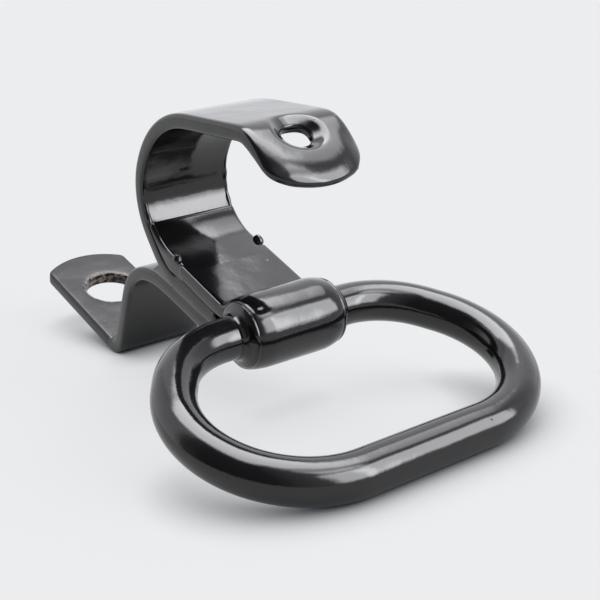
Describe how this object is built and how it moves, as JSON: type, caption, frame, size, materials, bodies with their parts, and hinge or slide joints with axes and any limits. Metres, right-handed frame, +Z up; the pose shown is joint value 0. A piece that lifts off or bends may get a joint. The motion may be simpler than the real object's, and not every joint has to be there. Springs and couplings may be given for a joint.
{
  "type": "sash lift handle",
  "caption": "Steel hook welded to a stepped screw-on bracket whose rolled knuckle carries a swinging oval pull ring, all in gloss black enamel.",
  "frame": {"origin": "on the floor, under the middle of the handle's overall length and width", "axes": "+X runs from the foot of the bracket towards the front bar of the ring, +Y along the hinge line, +Z up; the handle stands on the bend of its foot and on the front bar of its ring, so the bracket and the ring lean forward together by 18.4 degrees"},
  "size_m": [0.1316, 0.0736, 0.0562],
  "materials": {
    "black_enamel": "thick glossy black enamel",
    "weld_steel": "bare ground weld"
  },
  "bodies": {
    "bracket": {"hinge_bracket": "black_enamel", "hook_strap": "black_enamel", "flap_weld": "black_enamel", "crotch_weld": "black_enamel", "weld_bead_left": "black_enamel", "weld_bead_right": "black_enamel"},
    "ring": {"pull_ring": "black_enamel", "ring_weld": "weld_steel"}
  },
  "joints": [
    {"name": "ring_hinge", "type": "hinge", "parent": "bracket", "child": "ring", "pos_m": [0.02296, 0, 0.01689], "axis": [0, 1, 0], "range_deg": [-85, 153]}
  ]
}
